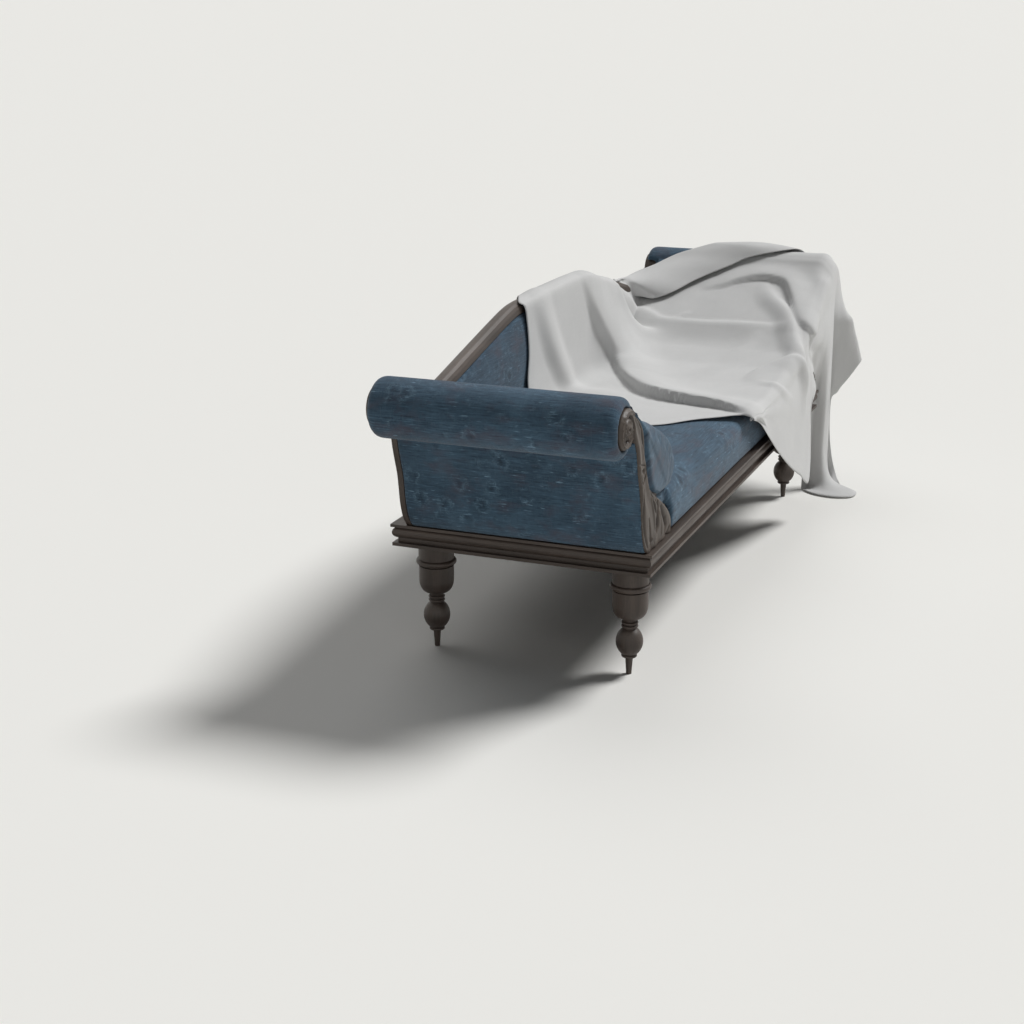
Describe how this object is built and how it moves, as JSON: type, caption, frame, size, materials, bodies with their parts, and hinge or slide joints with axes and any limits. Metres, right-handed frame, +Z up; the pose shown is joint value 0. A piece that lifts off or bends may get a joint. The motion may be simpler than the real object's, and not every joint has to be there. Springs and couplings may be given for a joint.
{
  "type": "chaise longue",
  "caption": "Camelback chaise longue with rolled scroll arms, carved wooden facings, a moulded base on turned legs, blue upholstery and a loose throw draped over the head end.",
  "frame": {"origin": "on the floor, under the middle of the whole outline; the throw's foot lies 137 mm in front of the base, so this is 68 mm in front of the middle of the base", "axes": "+X along the seat towards the head end with the throw, -Y out of the open front, +Z up"},
  "size_m": [2.2485, 0.797, 0.7809],
  "materials": {
    "walnut": "satin",
    "beech": "bare",
    "blue_cloth": "figured weave",
    "jute_webbing": "coarse weave",
    "hessian": "coarse weave",
    "black_cloth": "matte",
    "throw_cloth": "matte"
  },
  "bodies": {
    "chaise": {"leg_front_foot": "walnut", "leg_back_foot": "walnut", "leg_front_head": "walnut", "leg_back_head": "walnut", "base_rail_front": "walnut", "base_rail_back": "walnut", "base_rail_foot": "walnut", "base_rail_head": "walnut", "corner_blocks": "beech", "cross_braces": "beech", "dust_cover": "black_cloth", "seat_rail_front": "beech", "seat_rail_back": "beech", "seat_rail_foot": "beech", "seat_rail_head": "beech", "seat_webbing": "jute_webbing", "seat_hessian": "hessian", "seat_first_stuffing": "hessian", "seat_cover": "blue_cloth", "crest_rail": "walnut", "back_end_posts": "beech", "back_mid_posts": "beech", "back_stuffing_rail": "beech", "back_webbing": "jute_webbing", "inside_back_pad": "blue_cloth", "outside_back_cover": "blue_cloth", "foot_carved_facing": "walnut", "head_carved_facing": "walnut", "foot_rear_facing": "walnut", "head_rear_facing": "walnut", "foot_front_board": "beech", "head_front_board": "beech", "foot_rear_board": "beech", "head_rear_board": "beech", "foot_roll_core": "beech", "head_roll_core": "beech", "foot_top_rail": "beech", "head_top_rail": "beech", "foot_stuffing_rail": "beech", "head_stuffing_rail": "beech", "foot_tacking_rail": "beech", "head_tacking_rail": "beech", "foot_arm_webbing": "jute_webbing", "head_arm_webbing": "jute_webbing", "foot_inside_pad": "blue_cloth", "head_inside_pad": "blue_cloth", "foot_roll_pad": "blue_cloth", "head_roll_pad": "blue_cloth", "foot_outside_cover": "blue_cloth", "head_outside_cover": "blue_cloth"},
    "throw": {"throw": "throw_cloth"}
  },
  "joints": [
    {"name": "throw_lift", "type": "slide", "parent": "chaise", "child": "throw", "axis": [0, 0, 1], "range_m": [0, 1.2]}
  ]
}
